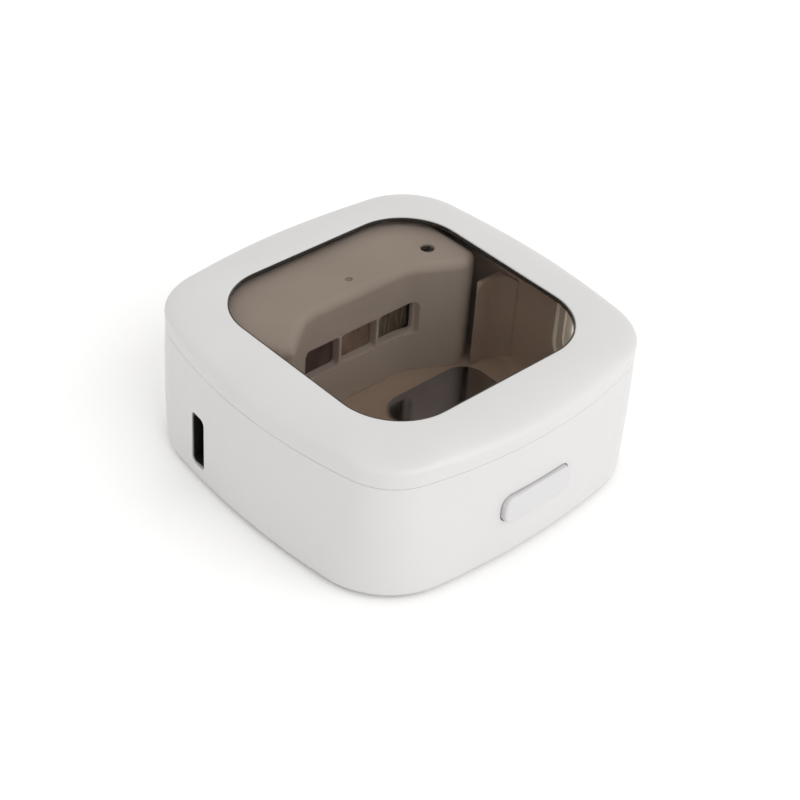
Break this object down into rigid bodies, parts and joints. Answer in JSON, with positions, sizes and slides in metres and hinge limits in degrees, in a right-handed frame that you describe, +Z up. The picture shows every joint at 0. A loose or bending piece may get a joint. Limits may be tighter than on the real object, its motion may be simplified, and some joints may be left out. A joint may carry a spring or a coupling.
{
  "type": "uv toothbrush sterilizer",
  "caption": "Small rounded-square case with a smoked window in its hinged lid, a push button, a charging socket and a neck slot, for sterilizing a toothbrush head.",
  "frame": {"origin": "on the floor, under the middle of the object's bounding box", "axes": "+Z up through the lid, -Y out of the push button, +Y to the hinge, -X out of the charging socket, +X out of the neck slot"},
  "size_m": [0.06, 0.0618, 0.0253],
  "materials": {
    "white_plastic": "satin white moulded plastic",
    "button_plastic": "satin white moulded plastic, slightly cool",
    "inner_plastic": "fine matt moulded plastic",
    "smoked_window": "polished smoke-brown clear plastic",
    "quartz": "polished clear",
    "steel": "satin steel",
    "bright_metal": "bright rolled sheet",
    "dark_rubber": "matt",
    "pale_rubber": "matt silicone",
    "board_green": "solder mask",
    "chip_black": "moulded black",
    "ceramic": "pale ceramic",
    "cell_wrap": "foil pouch",
    "lead_red": "wire insulation",
    "lead_black": "wire insulation",
    "foam_tape": "matt tape"
  },
  "bodies": {
    "root": {"base_housing": "white_plastic", "bottom_cover": "white_plastic", "rubber_foot_1": "dark_rubber", "rubber_foot_2": "dark_rubber", "rubber_foot_3": "dark_rubber", "rubber_foot_4": "dark_rubber", "cover_screw_1": "steel", "cover_screw_2": "steel", "cover_screw_3": "steel", "cover_screw_4": "steel", "chamber_tub": "inner_plastic", "lamp_block": "inner_plastic", "quartz_lens_1": "quartz", "quartz_lens_2": "quartz", "quartz_lens_3": "quartz", "uv_lamp_1": "ceramic", "uv_lamp_2": "ceramic", "uv_lamp_3": "ceramic", "deck_screw": "steel", "light_pipe": "quartz", "right_side_panel": "inner_plastic", "left_side_panel": "inner_plastic", "floor_reflector": "bright_metal", "neck_seal": "pale_rubber", "main_board": "board_green", "socket_shell": "steel", "socket_tongue": "chip_black", "charge_chip": "chip_black", "controller_chip": "chip_black", "inductor": "chip_black", "lid_sensor": "chip_black", "battery_cell": "cell_wrap", "battery_tape": "foam_tape", "battery_plug": "ceramic", "switch_board": "board_green", "switch_body": "chip_black", "battery_lead_1": "lead_black", "battery_lead_2": "lead_red", "switch_ribbon": "foam_tape", "base_magnet_1": "steel", "base_magnet_2": "steel", "hinge_pin": "steel"},
    "button": {"power_button": "button_plastic", "switch_plunger": "chip_black"},
    "lid": {"lid_frame": "white_plastic", "lid_window": "smoked_window", "window_glue": "foam_tape", "lid_magnet_1": "steel", "lid_magnet_2": "steel"}
  },
  "joints": [
    {"name": "lid_hinge", "type": "hinge", "parent": "root", "child": "lid", "pos_m": [0, 0.0294, 0.0193], "axis": [-1, 0, 0], "range_deg": [0, 105]},
    {"name": "button_press", "type": "slide", "parent": "root", "child": "button", "axis": [0, 1, 0], "range_m": [0, 0.0005], "stiffness_N_per_m": 2000, "springref_m": -0.0002}
  ]
}
